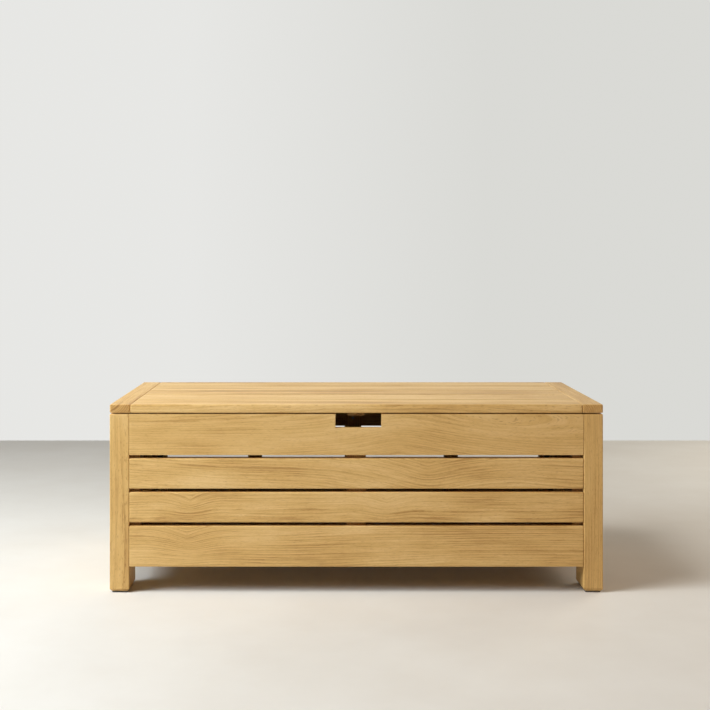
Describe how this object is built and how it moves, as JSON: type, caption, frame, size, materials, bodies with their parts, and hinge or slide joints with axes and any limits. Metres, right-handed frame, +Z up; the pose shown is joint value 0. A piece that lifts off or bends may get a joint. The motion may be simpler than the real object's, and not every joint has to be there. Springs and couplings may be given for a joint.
{
  "type": "deck storage box",
  "caption": "Hardwood deck storage box with slatted panels, a flush slatted lid on rear hinges, gas stays, a finger notch and a slatted floor on short legs.",
  "frame": {"origin": "on the floor under the middle of the box, hinge knuckles included", "axes": "+X along the box to the right seen from the front, +Y towards the hinges at the back, +Z up"},
  "size_m": [1.397, 0.61, 0.533],
  "materials": {
    "leg_wood": "satin",
    "board_wood": "satin",
    "lid_wood": "satin",
    "frame_wood": "planed",
    "hinge_steel": "brushed stainless",
    "stay_black": "satin black",
    "stay_rod": "polished",
    "bracket_zinc": "powder coated black",
    "glide_nylon": "moulded",
    "bumper_rubber": "matt",
    "screw_steel": "plain"
  },
  "bodies": {
    "box": {"front_left_leg": "leg_wood", "front_right_leg": "leg_wood", "rear_left_leg": "leg_wood", "rear_right_leg": "leg_wood", "front_board_1": "board_wood", "front_board_2": "board_wood", "front_board_3": "board_wood", "front_board_4": "board_wood", "back_board_1": "board_wood", "back_board_2": "board_wood", "back_board_3": "board_wood", "back_board_4": "board_wood", "left_board_1": "board_wood", "left_board_2": "board_wood", "left_board_3": "board_wood", "left_board_4": "board_wood", "right_board_1": "board_wood", "right_board_2": "board_wood", "right_board_3": "board_wood", "right_board_4": "board_wood", "front_left_cleats": "frame_wood", "front_right_cleats": "frame_wood", "rear_left_cleats": "frame_wood", "rear_right_cleats": "frame_wood", "front_centre_batten": "frame_wood", "back_centre_batten": "frame_wood", "back_left_batten": "frame_wood", "back_right_batten": "frame_wood", "front_floor_ledger": "frame_wood", "back_floor_ledger": "frame_wood", "floor_bearer_left": "frame_wood", "floor_bearer_centre": "frame_wood", "floor_bearer_right": "frame_wood", "floor_slat_1": "frame_wood", "floor_slat_2": "frame_wood", "floor_slat_3": "frame_wood", "floor_slat_4": "frame_wood", "hinge_body_leaves": "hinge_steel", "hinge_pins": "hinge_steel", "stay_body_brackets": "bracket_zinc", "leg_glides": "glide_nylon", "lid_bumpers": "bumper_rubber", "body_screws": "screw_steel"},
    "lid": {"lid_left_end_rail": "lid_wood", "lid_right_end_rail": "lid_wood", "lid_slat_1": "lid_wood", "lid_slat_2": "lid_wood", "lid_slat_3": "lid_wood", "lid_slat_4": "lid_wood", "lid_slat_5": "lid_wood", "lid_batten_left": "frame_wood", "lid_batten_centre": "frame_wood", "lid_batten_right": "frame_wood", "hinge_lid_leaves": "hinge_steel", "stay_lid_brackets": "bracket_zinc", "lid_screws": "screw_steel"},
    "left_stay_cylinder": {"left_stay_cylinder": "stay_black"},
    "left_stay_rod": {"left_stay_rod": "stay_rod"},
    "right_stay_cylinder": {"right_stay_cylinder": "stay_black"},
    "right_stay_rod": {"right_stay_rod": "stay_rod"}
  },
  "joints": [
    {"name": "lid_hinge", "type": "hinge", "parent": "box", "child": "lid", "pos_m": [0, 0.3005, 0.507], "axis": [-1, 0, 0], "range_deg": [0, 80]},
    {"name": "left_stay_cylinder_pivot", "type": "hinge", "parent": "box", "child": "left_stay_cylinder", "pos_m": [-0.6285, 0.22918, 0.25697], "axis": [-1, 0, 0], "range_deg": [0, 40]},
    {"name": "left_stay_rod_pivot", "type": "hinge", "parent": "lid", "child": "left_stay_rod", "pos_m": [-0.6285, 0.04116, 0.4885], "axis": [-1, 0, 0], "range_deg": [-40, 0]},
    {"name": "right_stay_cylinder_pivot", "type": "hinge", "parent": "box", "child": "right_stay_cylinder", "pos_m": [0.6285, 0.22918, 0.25697], "axis": [-1, 0, 0], "range_deg": [0, 40]},
    {"name": "right_stay_rod_pivot", "type": "hinge", "parent": "lid", "child": "right_stay_rod", "pos_m": [0.6285, 0.04116, 0.4885], "axis": [-1, 0, 0], "range_deg": [-40, 0]}
  ],
  "couplings": [
    {"joint": "left_stay_cylinder_pivot", "follows": "lid_hinge", "ratio": 0.5},
    {"joint": "left_stay_rod_pivot", "follows": "lid_hinge", "ratio": -0.5},
    {"joint": "right_stay_cylinder_pivot", "follows": "lid_hinge", "ratio": 0.5},
    {"joint": "right_stay_rod_pivot", "follows": "lid_hinge", "ratio": -0.5}
  ]
}
